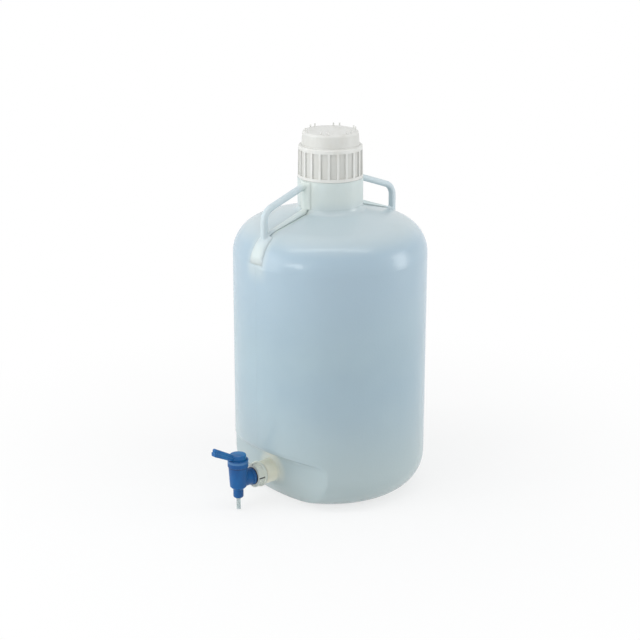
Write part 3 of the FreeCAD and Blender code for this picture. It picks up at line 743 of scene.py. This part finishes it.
class CARBOY_OT_stopcock(bpy.types.Operator):
    """Dress the spigot body, the key with its lever and the collar, and finish the seals"""

    bl_idname = "carboy.stopcock"
    bl_label = "Stopcock"

    def execute(self, context):
        softness = context.scene.carboy_sizes.soft_edge
        for node in ("spigot_body", "stopcock_key", "key_retainer"):
            dressed(context, node, softness)
        for node in ("upper_key_seal", "lower_key_seal"):
            painted(context, node)
        return {"FINISHED"}


class CARBOY_OT_tube(bpy.types.Operator):
    """Dress the clear outlet tube"""

    bl_idname = "carboy.tube"
    bl_label = "Outlet tube"

    def execute(self, context):
        dressed(context, "outlet_tube", context.scene.carboy_sizes.soft_edge * TUBE_SHARE)
        return {"FINISHED"}


class CARBOY_OT_stage(bpy.types.Operator):
    """Set the pale floor, the soft lights and the camera"""

    bl_idname = "carboy.stage"
    bl_label = "Stage"

    # Name, then metres to the camera's right, towards it and up, then width, height and watts.
    LIGHTS = (
        ("left_softbox", (-1.6, 0.5, 0.62), (1.0, 1.4), 9.7),
        ("right_softbox", (1.7, 0.1, 0.53), (0.6, 1.0), 7.4),
        ("top_softbox", (-0.7, -0.15, 2.0), (1.0, 1.0), 1),
        ("top_strip", (0.0, 0.62, 2.0), (2.8, 0.1), 9),
        ("front_fill", (-1.24, 1.5, 0.8), (0.6, 0.25), 4),
    )
    # The point that the lights face, half the floor's width, and the floor's own glow where shadows fall.
    LIT_POINT = Vector((0, 0, 0.28))
    FLOOR_HALF = 8.0
    SHADOW_GLOW = 0.72

    def execute(self, context):
        stage = context.scene.carboy_stage
        context.scene.view_settings.view_transform = "Standard"
        self.right = Vector((math.cos(stage.azimuth), math.sin(stage.azimuth), 0))
        self.toward = Vector((math.sin(stage.azimuth), -math.cos(stage.azimuth), 0))
        self.floor(stage)
        self.world(context)
        for light in self.LIGHTS:
            self.lamp(context, *light)
        self.camera(context, stage)
        return {"FINISHED"}

    def floor(self, stage):
        mesh = bpy.data.meshes.new("floor")
        half = self.FLOOR_HALF
        corners = [(-half, -half, 0), (half, -half, 0), (half, half, 0), (-half, half, 0)]
        mesh.from_pydata(corners, [], [(0, 1, 2, 3)])
        finish = Finish("floor_paper", {})
        across, along, _ = finish.axes()
        far = distance(across, along).between(0.2, 0.8)
        glow = finish.seen_directly() * (self.SHADOW_GLOW + (1 - self.SHADOW_GLOW) * far)
        mottle = finish.noise(3.0, detail=3.0) * 0.2
        colour = finish.blend(mottle, stage.floor, (1, 1, 1))
        mesh.materials.append(finish.done(colour, 0.9, glow))
        new_piece("floor", mesh)

    def world(self, context):
        world = bpy.data.worlds.new("studio")
        context.scene.world = world
        world.use_nodes = True
        studio = Tree(world.node_tree)
        lit, white = (
            studio.node("ShaderNodeBackground", {}, {"Color": (1, 1, 1), "Strength": strength})
            for strength in (context.scene.carboy_stage.daylight, 1.0))
        mixed = studio.node("ShaderNodeMixShader", {}, {0: studio.seen_directly(), 1: lit, 2: white})
        studio.end("ShaderNodeOutputWorld", mixed)

    def lamp(self, context, name, place, size, power):
        light = bpy.data.lights.new(name, "AREA")
        light.shape = "RECTANGLE"
        light.size, light.size_y = size
        light.energy = power
        lamp = bpy.data.objects.new(name, light)
        lamp.location = self.right * place[0] + self.toward * place[1] + Vector((0, 0, place[2]))
        lamp.rotation_euler = (self.LIT_POINT - lamp.location).to_track_quat("-Z", "Y").to_euler()
        context.scene.collection.objects.link(lamp)

    def camera(self, context, stage):
        sight = self.toward * math.cos(stage.elevation) + Vector((0, 0, math.sin(stage.elevation)))
        aim = Vector((0, 0, stage.aim_height)) - self.right * stage.aim_left
        data = bpy.data.cameras.new("photo_camera")
        data.lens = stage.lens
        data.sensor_width = 36
        data.clip_end = 50
        camera = bpy.data.objects.new("photo_camera", data)
        camera.location = aim + sight * stage.distance
        lean = Quaternion((0, 0, 1), stage.roll)
        camera.rotation_euler = ((-sight).to_track_quat("-Z", "Y") @ lean).to_euler()
        context.scene.collection.objects.link(camera)
        context.scene.camera = camera


OPERATORS = (
    CARBOY_OT_bottle,
    CARBOY_OT_thread,
    CARBOY_OT_handles,
    CARBOY_OT_closure,
    CARBOY_OT_fitting,
    CARBOY_OT_stopcock,
    CARBOY_OT_tube,
    CARBOY_OT_stage,
)


class CARBOY_PT_sidebar(bpy.types.Panel):
    """Lists the carboy's pieces and its stage"""

    bl_idname = "CARBOY_PT_sidebar"
    bl_label = "Dispensing carboy"
    bl_space_type = "VIEW_3D"
    bl_region_type = "UI"
    bl_category = "Carboy"

    def draw(self, context):
        for operator in OPERATORS:
            self.layout.operator(operator.bl_idname)
        for group in ("carboy_sizes", "carboy_colours", "carboy_stage"):
            values = getattr(context.scene, group)
            for name in values.__annotations__:
                self.layout.prop(values, name)


GROUPS = {
    "carboy_colours": CarboyColours,
    "carboy_sizes": CarboySizes,
    "carboy_stage": CarboyStage,
}
CLASSES = (*GROUPS.values(), *OPERATORS, CARBOY_PT_sidebar)


def register():
    for item in CLASSES:
        bpy.utils.register_class(item)
    for name, group in GROUPS.items():
        setattr(bpy.types.Scene, name, bpy.props.PointerProperty(type=group))


def unregister():
    for name in GROUPS:
        delattr(bpy.types.Scene, name)
    for item in reversed(CLASSES):
        bpy.utils.unregister_class(item)


def main():
    register()
    bpy.ops.carboy.bottle()
    bpy.ops.carboy.thread()
    bpy.ops.carboy.handles()
    bpy.ops.carboy.closure()
    bpy.ops.carboy.fitting()
    bpy.ops.carboy.stopcock()
    bpy.ops.carboy.tube()
    bpy.ops.carboy.stage()


if __name__ == "__main__":
    main()
